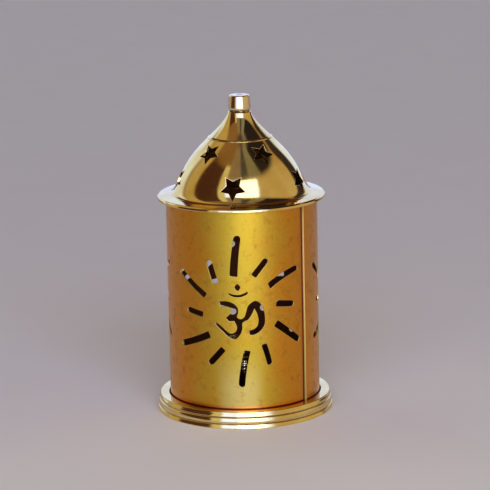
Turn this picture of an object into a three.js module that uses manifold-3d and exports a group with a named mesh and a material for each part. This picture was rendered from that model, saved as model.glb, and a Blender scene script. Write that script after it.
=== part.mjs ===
// Brass incense burner in three loose parts: a stepped round base with a turned cup for the incense
// on its centre, a rolled sheet sleeve pierced with a sun on three sides, and a domed lid pierced
// with stars and topped by a knob. The sleeve lifts off the base, and the lid off the sleeve.
// Millimetres, +Z up, origin on the axis under the base, front towards -Y.
import * as THREE from 'three';
import { mergeVertices } from 'three/addons/utils/BufferGeometryUtils.js';
import Module from 'manifold-3d';

const wasm = await Module();
wasm.setup();

// ---- Driving dimensions -------------------------------------------------------------------------

// Fits
const restGap = 0.1; // between faces that stand on one another
const boreGap = 0.3; // round a shank or spigot, on the radius
const lidGap = 0.3; // round the lid's locating ring inside the sleeve
const seatGap = 0.25; // between the sleeve's lap and the base ring
const footGap = 0.3; // from the table to the screw head under the base

// Sleeve: one sheet rolled into a tube, its right-hand end lapped over the left-hand one
const sheet = 0.6;
const sleeveRadius = 32.3; // outside, away from the lap
const sleeveHeight = 88.2;
const lapTurn = 52.5; // degrees round from the front
const lapWidth = 8;
const lapFade = 14; // how far along the sheet the step of the lap dies away
const sleeveFacets = 48;

// Base: a cast and turned dish, three bands outside and a flat ring on top
const ringWidth = 3.65;
const ringBevel = 0.6;
const bandStep = 0.5; // how much each band stands out from the one above
const bandLean = 0.45; // how much each band draws in towards its top
const footBand = 2; // height of the lowest band
const middleBand = 2.8;
const grooveDepth = 0.25;
const grooveHalf = 0.3; // half its height
const footEase = 0.3; // bevel at the table
const seatDepth = 3; // ring top down to the floor that the sleeve stands on
const floorThickness = 1.6;
const footRingWidth = 4.2; // the ring that the base stands on
const footRingDraft = 1.4; // its inner wall leans in by this much, for the casting to leave its mould
const baseFacets = 48;

// Holder: a turned stem and a turned cup, drawn down on the floor by a screw from below
const stemHeight = 18; // floor to the cup
const stemRadius = 3.4;
const stemFoot = 9; // radius of the disc that it stands on
const stemFootEdge = 0.9;
const stemFootSweep = 2.5; // height of the hollow sweep from the disc up to the stem
const knopRadius = 6.8; // the turned ring below the cup
const knopHeight = 3.6;
const knopRound = 1.1;
const knopDrop = 2.4; // from the cup down to the knop
const spigotRadius = 2; // the cup's peg in the stem
const spigotLength = 4.6;
const cupRadius = 8.8;
const cupFoot = 5;
const cupWall = 1.2;
const cupRim = 0.4; // how much the rim stands out from the bowl
const cupRimHeight = 1;
const cupDepth = 5.4;
const cupFloor = 1.5;
const bowlFillet = 0.6;
const stickHole = 1.3;
const stickDepth = 4;
const holderFacets = 32;

// Screws and washers. A screw is as long as its hole leaves room for.
const holderScrew = { shank: 2, head: 3.6, headHeight: 1.4, slot: 0.9, slotDepth: 0.7 };
const holderWasher = { outer: 4.6, thickness: 0.5 };
const knobScrew = { shank: 1.5, head: 2.8, headHeight: 1.5, slot: 0.7, slotDepth: 0.7 };
const knobWasher = { outer: 3.4, thickness: 0.5 };
const screwEase = 0.4; // bevel of a head's rim and of a shank's tip
const tapEnd = 0.8; // room past a screw's or a spigot's end
const stemWeb = 1.8; // solid metal between the screw's hole and the spigot's
const knobCap = 2.5; // solid metal over the screw's hole in the knob
const screwFacets = 20;

// Lid: a spun dome with a flat flange, and a cast neck over its opening
const lidWall = 1.2;
const flangeReach = 3.7; // past the outside of the sleeve
const creaseInset = 1.3; // from the outside of the sleeve in to where the dome leaves the flange
const flangeThickness = 2.2;
const flangeFall = 0.6; // the flange's top falls this much towards its lip
const lipRadius = 0.7;
const locatingDepth = 2.8;
const locatingWall = 1;
const footHandle = 2;
const wallInset = 4.5; // from the crease in to the steepest place of the dome
const wallRise = 6.4;
const wallLean = 22.5; // degrees from upright
const wallHandleBelow = 2.8;
const wallHandleAbove = 7.8;
const domeHeight = 23.4; // crease to the neck
const neckRadius = 13.8;
const neckLean = 46;
const neckHandleBelow = 7.6;
const neckHandleAbove = 4.5;
const neckHeight = 11;
const neckTopRadius = 5;
const neckTopLean = 8;
const neckTopHandle = 3.5;
const neckSpigot = 1.5;
const neckWall = 1.3;
const neckCeiling = 4; // solid metal above the hollow of the neck
const collarRadius = 4.2;
const collarHeight = 0.9;
const collarEase = 0.3;
const domeFacets = 48;
const neckFacets = 36;

// Knob
const knobRadius = 4.9;
const knobTopRadius = 4.3;
const knobHeight = 6.2;
const knobEdge = 0.6;
const knobFoot = 0.4;
const knobFacets = 32;

// Stars: two rows pierced in the dome, stepped round by eye, so the last gap is the smaller one
const starsPerRow = 5;
const starStep = 75.5; // degrees
const starRadius = 5.5;
const starWaist = 2.8;
const lowerStarTurn = -7.4; // the star nearest the front
const lowerStarRise = 6.5; // centre above the crease
const upperStarDrop = 4.6; // centre below the neck
const upperStarShare = 0.94; // size next to the lower ones
const upperStarLean = 7; // degrees, against the clock

// Sun: twelve sawn rays round the sacred sign, drawn flat. x runs right and y up from its centre.
const suns = 3;
const sunTurn = -3.8; // degrees, the one nearest the front
const sunWidth = 58.3;
const sunHeight = 66;
const sunGap = 9.3; // plain sheet between two suns
const sunMargin = 9.5; // plain sheet above and below
const sunDrop = 1.4; // centre below the middle of the sheet that shows
const rayCorner = 0.5; // bevel at a ray's square inner end
const capTurns = [-50, 0, 50]; // where a round end has its points, in degrees
const bowSteps = 2; // straight pieces in the side of a bowed slot

// Each ray was sawn by hand: inner end, outer end, width at each, and how far its middle bows left
const rays = [
  { from: [-1.8, 16.4], to: [0.2, 33.8], wide: [3.4, 2.9], bow: 0.3 },
  { from: [6.6, 16.3], to: [12.5, 23.3], wide: [2.5, 2.5], bow: 0 },
  { from: [13.3, 11.6], to: [27.9, 17.7], wide: [2.8, 2.5], bow: 0.9 },
  { from: [16.5, 3.8], to: [25.4, 2.5], wide: [2.8, 2.5], bow: 0 },
  { from: [16.2, -4.7], to: [28.3, -13.9], wide: [3.1, 2.8], bow: 0 },
  { from: [10.6, -13.3], to: [13.2, -22.5], wide: [2.4, 2.3], bow: 0.2 },
  { from: [3.5, -15.7], to: [0.8, -31.5], wide: [2.7, 2.7], bow: -0.4 },
  { from: [-6.7, -14.9], to: [-13.1, -21.9], wide: [2.6, 2.7], bow: 0 },
  { from: [-12.8, -9.1], to: [-28.3, -15.2], wide: [3.0, 2.7], bow: 0.3 },
  { from: [-15.8, -0.8], to: [-24.1, 0.6], wide: [2.5, 2.4], bow: 0 },
  { from: [-14.4, 7.5], to: [-28.2, 16.9], wide: [2.6, 2.6], bow: 0 },
  { from: [-9.4, 13.3], to: [-12.4, 22.9], wide: [2.6, 2.6], bow: 0.2 },
];

// The sign's outline in runs: a run is drawn as one smooth curve, and its ends are corners
const signRuns = [
  // over the upper bowl, down to the cradle, up the arm and round the loop to its foot
  [[-8.1, 5.5], [-4.9, 5.7], [-2.0, 4.7], [-0.3, 2.8], [-0.2, 0.6], [-0.7, -1.0], [0.8, -2.0], [2.4, -1.2],
    [3.4, 1.4], [4.3, 3.9], [7.4, 5.7], [10.1, 3.4], [11.2, -0.6], [11.1, -4.8], [9.2, -7.5], [6.8, -8.8],
    [4.7, -8.9]],
  // inside the loop, up to its sharp top
  [[4.4, -7.1], [6.3, -6.5], [7.9, -5.2], [8.5, -2.9], [8.0, 0.0], [6.8, 2.5]],
  // down the inside of the arm
  [[6.8, 2.5], [5.8, 0.3], [4.2, -2.1], [2.7, -2.8]],
  // round the outside of the lower bowl to its thin tip
  [[2.7, -2.8], [1.5, -3.9], [1.5, -6.1], [0.5, -8.8], [-1.7, -10.7], [-4.5, -9.5], [-6.9, -7.3],
    [-9.5, -5.0], [-9.9, -3.5]],
  // back inside the lower bowl to the tongue
  [[-9.9, -3.5], [-7.6, -5.0], [-5.2, -7.2], [-3.3, -8.3], [-1.3, -7.4], [-0.7, -5.4], [-1.8, -2.8]],
  // the tongue's square end
  [[-1.8, -2.8], [-4.2, -2.9]],
  // up over the notch between the bowls and back to the start
  [[-5.4, -1.5], [-3.4, 0.4], [-3.1, 2.2], [-4.5, 3.3], [-7.6, 3.4]],
];
const signStep = 2; // points in each span of a smooth run
const cradle = { from: [-4.1, 8.9], to: [4.1, 9.4], wide: [0.9, 1.1], bow: -1.2, roundStart: true };
const dotCentre = [-0.2, 11.7];
const dotHalf = [1.2, 1.45];
const dotPoints = 12;
const dotSquareness = 1.5; // 2 is an ellipse and 1 a diamond

// ---- Heights and radii that follow from them ------------------------------------------------------

const recess = footGap + holderScrew.headHeight + restGap + holderWasher.thickness + restGap;
const floorZ = recess + floorThickness;
const ringZ = floorZ + seatDepth;
const ringInner = sleeveRadius + sheet / 2 + seatGap;
const ringOuter = ringInner + ringWidth;
const sleeveBottom = floorZ + restGap;
const sleeveTop = sleeveBottom + sleeveHeight;
const stemBottom = floorZ + restGap;
const cupBottom = stemBottom + stemHeight + restGap;
const flangeBottom = sleeveTop + restGap;
const creaseZ = flangeBottom + flangeThickness;
const creaseRadius = sleeveRadius - creaseInset;
const lipOuter = sleeveRadius + flangeReach;
const neckZ = creaseZ + domeHeight;
const neckTopZ = neckZ + neckHeight;
const collarZ = neckTopZ + collarHeight;
const knobZ = collarZ + restGap;
const ceilingZ = neckTopZ - neckCeiling;

// ---- Materials ------------------------------------------------------------------------------------

const finish = (color, roughness) => () => (
  new THREE.MeshStandardMaterial({ color, roughness, metalness: 1 })
);
const polished = finish(0xd9c486, 0.1); // turned and buffed castings
const satin = finish(0xc98f2c, 0.32); // lacquered sheet
const plain = finish(0xb8923f, 0.4); // screws and washers

// ---- Helpers --------------------------------------------------------------------------------------

const group = new THREE.Group();

function place(name, geometry, material) {
  const mesh = new THREE.Mesh(geometry, material());
  mesh.name = name;
  group.add(mesh);
}

// Turns a closed profile of [radius, height] pairs about the Z axis.
function turned(profile, facets) {
  const points = profile.map(([r, z]) => new THREE.Vector2(r, z));
  return new THREE.LatheGeometry(points, facets).rotateX(Math.PI / 2);
}

// Points along a curve that leaves a towards the corner and arrives at b from it.
function sweep(a, corner, b, steps) {
  const at = ([x, y]) => new THREE.Vector2(x, y);
  return pairs(new THREE.QuadraticBezierCurve(at(a), at(corner), at(b)).getPoints(steps));
}

// A geometry as a solid for cutting. Triangles that shrink to a line on the axis are left out.
function solid(geometry) {
  const bare = geometry.clone();
  bare.deleteAttribute('normal');
  bare.deleteAttribute('uv');
  const merged = mergeVertices(bare, 1e-4);
  const corners = [];
  for (let i = 0; i < merged.index.count; i += 3) {
    const [a, b, c] = [0, 1, 2].map((k) => merged.index.getX(i + k));
    if (a !== b && b !== c && c !== a) corners.push(a, b, c);
  }
  return new wasm.Manifold(new wasm.Mesh({
    numProp: 3,
    vertProperties: new Float32Array(merged.attributes.position.array),
    triVerts: new Uint32Array(corners),
  }));
}

function asGeometry(body) {
  const cut = body.getMesh();
  const geometry = new THREE.BufferGeometry();
  geometry.setAttribute('position', new THREE.BufferAttribute(cut.vertProperties, 3));
  geometry.setIndex(new THREE.BufferAttribute(cut.triVerts, 1));
  geometry.computeVertexNormals();
  return geometry;
}

const pairs = (points) => points.map((p) => [p.x, p.y]);
const radians = THREE.MathUtils.degToRad;
const leaning = (degrees) => new THREE.Vector2(-Math.sin(radians(degrees)), Math.cos(radians(degrees)));

// ---- Base -----------------------------------------------------------------------------------------

const middleTop = footBand + middleBand;
const topBand = ringOuter + ringBevel;
const middleRadius = topBand + bandStep;
const footRadius = middleRadius + bandStep;
const screwHole = holderScrew.shank + boreGap;

const groove = (z, below, above) => [
  [below - bandLean, z - grooveHalf], [above - grooveDepth, z], [above, z + grooveHalf],
];

const baseProfile = [
  [screwHole, recess],
  [footRadius - footRingWidth - footRingDraft, recess],
  [footRadius - footRingWidth, 0],
  [footRadius - footEase, 0],
  [footRadius, footEase],
  ...groove(footBand, footRadius, middleRadius),
  ...groove(middleTop, middleRadius, topBand),
  ...sweep([topBand - bandLean, ringZ - ringBevel], [topBand - bandLean, ringZ], [ringOuter, ringZ], 2),
  [ringInner, ringZ],
  [ringInner, floorZ],
  [screwHole, floorZ],
  [screwHole, recess],
];
place('base_dish', turned(baseProfile, baseFacets), polished);

// ---- Holder ---------------------------------------------------------------------------------------

const stemTop = stemBottom + stemHeight;
const knopTop = stemTop - knopDrop;
const knopZ = knopTop - knopHeight;
const spigotBore = spigotRadius + boreGap;
const spigotEnd = stemTop - spigotLength - tapEnd;
const footTop = stemBottom + stemFootEdge;
const neckOfStem = spigotBore + cupWall;
const knopShoulder = knopRadius - knopRound;

const stemProfile = [
  [0, spigotEnd - stemWeb],
  [screwHole, spigotEnd - stemWeb],
  [screwHole, stemBottom],
  [stemFoot, stemBottom],
  ...sweep([stemFoot, footTop], [stemRadius, footTop], [stemRadius, footTop + stemFootSweep], 4),
  [stemRadius, knopZ],
  ...sweep([knopShoulder, knopZ], [knopRadius, knopZ], [knopRadius, knopZ + knopRound], 2),
  ...sweep([knopRadius, knopTop - knopRound], [knopRadius, knopTop], [knopShoulder, knopTop], 2),
  [neckOfStem, knopTop],
  [neckOfStem, stemTop],
  [spigotBore, stemTop],
  [spigotBore, spigotEnd],
  [0, spigotEnd],
];
place('holder_stem', turned(stemProfile, holderFacets), polished);

const bowlFloor = cupBottom + cupFloor;
const rimZ = bowlFloor + cupDepth;
const bowlOuter = cupRadius - cupRim;
const bowlInner = bowlOuter - cupWall;
const filletZ = bowlFloor + bowlFillet;
const cupProfile = [
  [0, cupBottom - spigotLength],
  [spigotRadius, cupBottom - spigotLength],
  [spigotRadius, cupBottom],
  ...sweep([cupFoot, cupBottom], [bowlOuter, cupBottom], [bowlOuter, bowlFloor + cupFloor], 4),
  [bowlOuter, rimZ - cupRimHeight],
  [cupRadius, rimZ - cupRimHeight + cupRim],
  ...sweep([cupRadius, rimZ - cupRim], [cupRadius, rimZ], [cupRadius - cupRim, rimZ], 2),
  [bowlInner, rimZ],
  ...sweep([bowlInner, filletZ], [bowlInner, bowlFloor], [bowlInner - bowlFillet, bowlFloor], 2),
  [stickHole, bowlFloor],
  [stickHole, bowlFloor - stickDepth],
  [0, bowlFloor - stickDepth],
];
place('holder_cup', turned(cupProfile, holderFacets), polished);

// A slotted screw, pointing up, from the underside of its head at height z to its tip.
function screw(name, size, z, tip) {
  const body = turned([
    [0, z - size.headHeight],
    [size.head - screwEase, z - size.headHeight],
    [size.head, z - size.headHeight + screwEase],
    [size.head, z],
    [size.shank, z],
    [size.shank, tip - screwEase],
    [size.shank - screwEase, tip],
    [0, tip],
  ], screwFacets);
  const blade = new THREE.BoxGeometry(3 * size.head, size.slot, 2 * size.slotDepth);
  blade.translate(0, 0, z - size.headHeight);
  place(name, asGeometry(solid(body).subtract(solid(blade))), plain);
}

function washer(name, size, bore, z) {
  const top = z + size.thickness;
  const profile = [[bore, z], [size.outer, z], [size.outer, top], [bore, top], [bore, z]];
  place(name, turned(profile, screwFacets), plain);
}

const holderWasherZ = recess - restGap - holderWasher.thickness;
washer('holder_washer', holderWasher, screwHole, holderWasherZ);
screw('holder_screw', holderScrew, holderWasherZ - restGap, spigotEnd - stemWeb - tapEnd);

// ---- Sleeve ---------------------------------------------------------------------------------------

// How far the outside of the sheet stands out at a distance along it, going right from the lap's
// edge: half a sheet over just after it, and half a sheet under just before it, one turn later.
const girth = 2 * Math.PI * sleeveRadius;
function ride(distance) {
  const after = Math.exp(-distance / lapFade);
  const before = Math.exp(-(girth - distance) / lapFade);
  return sheet / 2 * (after - before);
}

function sleevePoint(radius, distance) {
  const turn = radians(lapTurn) + distance / sleeveRadius;
  return new THREE.Vector2(radius * Math.sin(turn), -radius * Math.cos(turn));
}

const outerSide = [];
const innerSide = [];
for (let i = 0; i <= sleeveFacets; i += 1) {
  const distance = girth * i / sleeveFacets;
  outerSide.push(sleevePoint(sleeveRadius + ride(distance), distance));
  if (distance > lapWidth) innerSide.push(sleevePoint(sleeveRadius - sheet + ride(distance), distance));
}
// under the lap the inner end of the sheet carries on at the radius it had before the lap
const tuckedRadius = sleeveRadius - 1.5 * sheet;
const lapInside = sleevePoint(sleeveRadius - sheet + ride(lapWidth), lapWidth);
const tucked = [lapWidth / 2, lapWidth].map((distance) => sleevePoint(tuckedRadius, distance));
const tube = new THREE.Shape(outerSide);
tube.holes.push(new THREE.Path([lapInside, ...innerSide, ...tucked]));
const sleeveBlank = new THREE.ExtrudeGeometry(tube, { depth: sleeveHeight, bevelEnabled: false });
sleeveBlank.translate(0, 0, sleeveBottom);

// A sawn slot: square inner end with eased corners, round outer end, bowed sides.
function slot({ from, to, wide, bow, roundStart }) {
  const start = new THREE.Vector2(...from);
  const end = new THREE.Vector2(...to);
  const along = end.clone().sub(start).normalize();
  const left = new THREE.Vector2(-along.y, along.x);
  const length = start.distanceTo(end);
  const at = (distance, side) => {
    const share = distance / length;
    const half = (wide[0] + (wide[1] - wide[0]) * share) / 2;
    const lean = 4 * bow * share * (1 - share);
    return start.clone().addScaledVector(along, distance).addScaledVector(left, lean + side * half);
  };
  const [inner, outer] = [wide[0] / 2, wide[1] / 2];
  const cap = (half, distance, direction) => capTurns.map((turn) => (
    at(distance + direction * half * Math.cos(radians(turn)), direction * Math.sin(radians(turn)))
  ));
  const eased = 1 - rayCorner / inner;
  const square = [at(0, eased), at(0, -eased)];
  const first = roundStart ? inner : rayCorner;
  const last = length - outer;
  const steps = bow ? bowSteps : 1;
  const stations = Array.from({ length: steps + 1 }, (_, i) => first + (last - first) * i / steps);
  return [
    ...stations.map((distance) => at(distance, -1)),
    ...cap(outer, last, 1),
    ...stations.toReversed().map((distance) => at(distance, 1)),
    ...(roundStart ? cap(inner, inner, -1) : square),
  ];
}

function smooth(run) {
  if (run.length === 2) return run.map((p) => new THREE.Vector2(...p));
  const curve = new THREE.SplineCurve(run.map((p) => new THREE.Vector2(...p)));
  return curve.getPoints(signStep * (run.length - 1));
}

const sign = signRuns.flatMap(smooth);
const dot = Array.from({ length: dotPoints }, (_, i) => {
  const turn = 2 * Math.PI * i / dotPoints;
  const round = (value) => Math.sign(value) * Math.abs(value) ** (2 / dotSquareness);
  return new THREE.Vector2(
    dotCentre[0] + dotHalf[0] * round(Math.cos(turn)),
    dotCentre[1] + dotHalf[1] * round(Math.sin(turn)),
  );
});
const sunCuts = [...[...rays, cradle].map(slot), dot, sign];

const panel = girth / suns;
const sheetSeen = flangeBottom - ringZ;
const sunScale = Math.min((panel - sunGap) / sunWidth, (sheetSeen - 2 * sunMargin) / sunHeight);
const sunZ = ringZ + sheetSeen / 2 - sunDrop;

// A flat outline as a cutter that stands through the sheet, bent round the sleeve.
function bentCutter(outline, turn) {
  const apart = (a, b) => Math.hypot(a.x - b.x, a.y - b.y);
  const points = outline.filter((p, i) => apart(p, outline.at(i - 1)) > 0.02);
  const reach = 4 * sheet;
  const flat = new THREE.ExtrudeGeometry(new THREE.Shape(points), { depth: 2 * reach, bevelEnabled: false });
  const position = flat.attributes.position;
  for (let i = 0; i < position.count; i += 1) {
    const angle = radians(turn) + position.getX(i) * sunScale / sleeveRadius;
    const radius = sleeveRadius - reach + position.getZ(i);
    const z = sunZ + position.getY(i) * sunScale;
    position.setXYZ(i, radius * Math.sin(angle), -radius * Math.cos(angle), z);
  }
  return solid(flat);
}

let sleeve = solid(sleeveBlank);
for (let k = 0; k < suns; k += 1) {
  for (const outline of sunCuts) {
    sleeve = sleeve.subtract(bentCutter(outline, sunTurn + 360 * k / suns));
  }
}
place('sleeve', asGeometry(sleeve), satin);

// ---- Lid ------------------------------------------------------------------------------------------

const crease = new THREE.Vector2(creaseRadius, creaseZ);
const wall = new THREE.Vector2(creaseRadius - wallInset, creaseZ + wallRise);
const neckFoot = new THREE.Vector2(neckRadius, neckZ);
const neckEnd = new THREE.Vector2(neckTopRadius, neckTopZ);

// A smooth stretch of profile from a to b that leaves and arrives along the given leans.
function stretch(a, leanA, handleA, b, leanB, handleB) {
  return new THREE.CubicBezierCurve(
    a,
    a.clone().addScaledVector(leaning(leanA), handleA),
    b.clone().addScaledVector(leaning(leanB), -handleB),
    b,
  );
}

const footCurve = stretch(crease, 90, footHandle, wall, wallLean, wallHandleBelow);
const wallCurve = stretch(wall, wallLean, wallHandleAbove, neckFoot, neckLean, neckHandleBelow);
const neckCurve = stretch(neckFoot, neckLean, neckHandleAbove, neckEnd, neckTopLean, neckTopHandle);

// The same curve moved into the metal by a wall, as points.
function inside(curve, steps, thickness) {
  return Array.from({ length: steps + 1 }, (_, i) => {
    const tangent = curve.getTangent(i / steps);
    return curve.getPoint(i / steps).add(new THREE.Vector2(-tangent.y, tangent.x).multiplyScalar(thickness));
  });
}

const locatingOuter = tuckedRadius - lidGap;
const locatingInner = locatingOuter - locatingWall;
const domeOutside = [...footCurve.getPoints(4), ...wallCurve.getPoints(6).slice(1)];
const domeInside = [...inside(footCurve, 4, lidWall), ...inside(wallCurve, 5, lidWall).slice(1)];
const shownInside = domeInside.filter((p) => p.x < locatingInner - restGap).reverse();
const flangeTopZ = creaseZ - flangeFall;
const lipInner = lipOuter - lipRadius;
const domeProfile = [
  [locatingInner, flangeBottom - locatingDepth],
  [locatingOuter, flangeBottom - locatingDepth],
  [locatingOuter, flangeBottom],
  ...sweep([lipInner, flangeBottom], [lipOuter, flangeBottom], [lipOuter, flangeBottom + lipRadius], 2),
  ...sweep([lipOuter, flangeTopZ - lipRadius], [lipOuter, flangeTopZ], [lipInner, flangeTopZ], 2),
  ...pairs(domeOutside),
  ...pairs(shownInside),
  [locatingInner, shownInside.at(-1).y - restGap],
  [locatingInner, flangeBottom - locatingDepth],
];

// A star pierced square to the dome, one point down, with its centre at the height z.
const starOutline = Array.from({ length: 10 }, (_, i) => {
  const radius = i % 2 ? starWaist : starRadius;
  const turn = -Math.PI / 2 + Math.PI * i / 5;
  return new THREE.Vector2(radius * Math.cos(turn), radius * Math.sin(turn));
});

const domeCurve = new THREE.CurvePath();
domeCurve.add(footCurve);
domeCurve.add(wallCurve);

// Halves the part of the dome's outside that holds the height z until it is a point.
function shareAt(z) {
  let [low, high] = [0, 1];
  while (high - low > 1e-6) {
    const middle = (low + high) / 2;
    if (domeCurve.getPoint(middle).y < z) low = middle;
    else high = middle;
  }
  return low;
}

function starCutter(turn, z, size, lean) {
  const share = shareAt(z);
  const point = domeCurve.getPoint(share);
  const tangent = domeCurve.getTangent(share);
  const [c, s] = [Math.cos(radians(turn)), Math.sin(radians(turn))];
  const right = new THREE.Vector3(c, s, 0);
  const up = new THREE.Vector3(tangent.x * s, -tangent.x * c, tangent.y);
  const out = right.clone().cross(up);
  const depth = 4 * lidWall;
  const cutter = new THREE.ExtrudeGeometry(new THREE.Shape(starOutline), { depth, bevelEnabled: false });
  cutter.translate(0, 0, -depth / 2).scale(size, size, 1).rotateZ(radians(lean));
  const centre = new THREE.Vector3(point.x * s, -point.x * c, point.y);
  cutter.applyMatrix4(new THREE.Matrix4().makeBasis(right, up, out).setPosition(centre));
  return solid(cutter);
}

const lowerStarZ = creaseZ + lowerStarRise;
const upperStarZ = neckZ - upperStarDrop;
let dome = solid(turned(domeProfile, domeFacets));
for (let k = 0; k < starsPerRow; k += 1) {
  const lower = lowerStarTurn + starStep * (k - 2);
  dome = dome.subtract(starCutter(lower, lowerStarZ, 1, 0));
  dome = dome.subtract(starCutter(lower - starStep / 2, upperStarZ, upperStarShare, upperStarLean));
}
place('lid_dome', asGeometry(dome), polished);

// The neck's foot lies on the cut end of the dome, and a short spigot centres it in the opening
const seatLeft = domeInside.at(-1);
const seatUp = leaning(neckLean).multiplyScalar(restGap);
const spigotOuter = seatLeft.x - boreGap;
const spigotInner = spigotOuter - neckWall;
const knobBore = knobScrew.shank + boreGap;
const neckOutside = neckCurve.getPoints(6);
neckOutside[0].add(seatUp);
const neckProfile = [
  [spigotInner, seatLeft.y - neckSpigot],
  [spigotOuter, seatLeft.y - neckSpigot],
  [spigotOuter, seatLeft.y + seatUp.y - boreGap],
  ...pairs(neckOutside),
  [collarRadius, neckTopZ + collarEase],
  [collarRadius, collarZ],
  [knobBore, collarZ],
  [knobBore, ceilingZ],
  [knobWasher.outer + boreGap, ceilingZ],
  [spigotInner, seatLeft.y],
  [spigotInner, seatLeft.y - neckSpigot],
];
place('lid_neck', turned(neckProfile, neckFacets), polished);

const knobWasherZ = ceilingZ - restGap - knobWasher.thickness;
const knobScrewZ = knobWasherZ - restGap;
const knobTop = knobZ + knobHeight;
const knobLand = knobTopRadius - knobEdge;
const knobProfile = [
  [0, knobTop - knobCap],
  [knobBore, knobTop - knobCap],
  [knobBore, knobZ],
  [knobRadius - knobFoot, knobZ],
  [knobRadius, knobZ + knobFoot],
  ...sweep([knobTopRadius, knobTop - knobEdge], [knobTopRadius, knobTop], [knobLand, knobTop], 2),
  [0, knobTop],
];
place('lid_knob', turned(knobProfile, knobFacets), polished);
washer('knob_washer', knobWasher, knobBore, knobWasherZ);
screw('knob_screw', knobScrew, knobScrewZ, knobTop - knobCap - tapEnd);

export default group;
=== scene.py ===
"""A brass incense burner: base with its cup holder, pierced sleeve, and star-pierced lid with a knob."""
import math

import bpy
import numpy as np
from mathutils import Matrix, Vector
from mathutils.geometry import delaunay_2d_cdt


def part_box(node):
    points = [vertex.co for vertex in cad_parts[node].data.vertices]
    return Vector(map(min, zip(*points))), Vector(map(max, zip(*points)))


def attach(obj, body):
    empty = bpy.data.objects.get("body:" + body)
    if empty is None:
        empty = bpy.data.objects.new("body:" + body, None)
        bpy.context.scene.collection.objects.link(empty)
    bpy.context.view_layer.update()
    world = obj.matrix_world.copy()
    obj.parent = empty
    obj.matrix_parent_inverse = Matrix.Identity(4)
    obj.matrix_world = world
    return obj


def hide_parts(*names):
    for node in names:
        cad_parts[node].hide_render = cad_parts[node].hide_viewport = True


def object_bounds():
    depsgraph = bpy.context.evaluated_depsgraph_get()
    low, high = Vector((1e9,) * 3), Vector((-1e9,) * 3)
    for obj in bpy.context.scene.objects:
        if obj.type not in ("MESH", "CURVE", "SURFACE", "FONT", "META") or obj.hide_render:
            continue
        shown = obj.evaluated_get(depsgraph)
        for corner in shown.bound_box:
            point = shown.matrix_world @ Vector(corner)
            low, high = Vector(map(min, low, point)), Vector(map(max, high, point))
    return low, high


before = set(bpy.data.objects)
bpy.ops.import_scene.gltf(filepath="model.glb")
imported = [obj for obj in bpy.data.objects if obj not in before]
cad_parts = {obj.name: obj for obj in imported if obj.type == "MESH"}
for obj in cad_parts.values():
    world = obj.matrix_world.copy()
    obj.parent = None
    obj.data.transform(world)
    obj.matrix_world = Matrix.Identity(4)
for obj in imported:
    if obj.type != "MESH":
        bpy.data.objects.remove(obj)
cad_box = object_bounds()
mm = 0.001


# ---- Camera --------------------------------------------------------------------------------------
# A long lens a metre away, a little above the lid, that leans a degree to one side.

camera_place = (1.2 * mm, -1027.5 * mm, 303 * mm)
camera_pitch = 12.73  # degrees down
camera_roll = -1.15

camera = bpy.data.objects.new("camera", bpy.data.cameras.new("camera"))
camera.data.lens = 180.4
camera.matrix_world = (
    Matrix.Translation(camera_place)
    @ Matrix.Rotation(math.radians(90 - camera_pitch), 4, "X")
    @ Matrix.Rotation(math.radians(camera_roll), 4, "Z")
)
bpy.context.scene.collection.objects.link(camera)
bpy.context.scene.camera = camera


# ---- Base dish -----------------------------------------------------------------------------------
# A cast brass dish, turned and buffed: three bands outside, a flat ring on top, and inside the ring
# the floor that the sleeve and the holder stand on. The foot ring under it leaves room for a screw.

def rounded(corners, steps=6):
    """A profile's points. A corner with a third value is rounded to that radius."""
    points = []
    for i, corner in enumerate(corners):
        here = np.array(corner[:2], float)
        if len(corner) == 2:
            points.append(here)
            continue
        back = np.array(corners[i - 1][:2]) - here
        ahead = np.array(corners[(i + 1) % len(corners)][:2]) - here
        shorter = min(np.linalg.norm(back), np.linalg.norm(ahead))
        back, ahead = back / np.linalg.norm(back), ahead / np.linalg.norm(ahead)
        half = math.acos(float(np.clip(back @ ahead, -1, 1))) / 2
        reach = min(corner[2] / math.tan(half), 0.49 * shorter)
        fillet = reach * math.tan(half)
        middle = (back + ahead) / np.linalg.norm(back + ahead)
        centre = here + middle * fillet / math.sin(half)
        start, end = here + back * reach - centre, here + ahead * reach - centre
        arc = math.pi - 2 * half
        for share in np.linspace(0, 1, steps + 1):
            blend = start * math.sin((1 - share) * arc) + end * math.sin(share * arc)
            points.append(centre + blend / math.sin(arc))
    return np.array(points)


weld = 1e-4 * mm  # points nearer than this become one


def make_piece(name, points, normals, faces, marks=None):
    """A smooth mesh with these normals. Points in one place become one, and marks are attributes."""
    spots = np.round(points / weld).astype(np.int64)
    _, first, which = np.unique(spots, axis=0, return_index=True, return_inverse=True)
    which = which.reshape(-1)
    points, normals = points[first], normals[first]
    kept = []
    for face in faces:
        corners = list(dict.fromkeys(int(which[i]) for i in face))
        if len(corners) < 3:
            continue
        a, b, c = points[corners[0]], points[corners[1]], points[corners[-1]]
        if np.cross(b - a, c - a) @ normals[corners].sum(0) < 0:
            corners.reverse()
        kept.append(corners)
    mesh = bpy.data.meshes.new(name)
    mesh.from_pydata(points.tolist(), [], kept)
    mesh.shade_smooth()
    mesh.normals_split_custom_set_from_vertices(normals.tolist())
    for mark, values in (marks or {}).items():
        attribute = mesh.attributes.new(mark, "FLOAT", "POINT")
        attribute.data.foreach_set("value", values[first].astype(np.float32))
    piece = bpy.data.objects.new(name, mesh)
    bpy.context.scene.collection.objects.link(piece)
    return piece


def profile_normals(profile):
    """Normals at a profile's points. A long side counts more than a short one, so flats stay flat."""
    ahead = np.roll(profile, -1, 0)
    side = ahead - profile
    out = np.stack([side[:, 1], -side[:, 0]], 1)
    area = (profile[:, 0] * ahead[:, 1] - ahead[:, 0] * profile[:, 1]).sum()
    total = (out + np.roll(out, 1, 0)) * np.sign(area)
    return total / np.linalg.norm(total, axis=1)[:, None]


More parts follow.
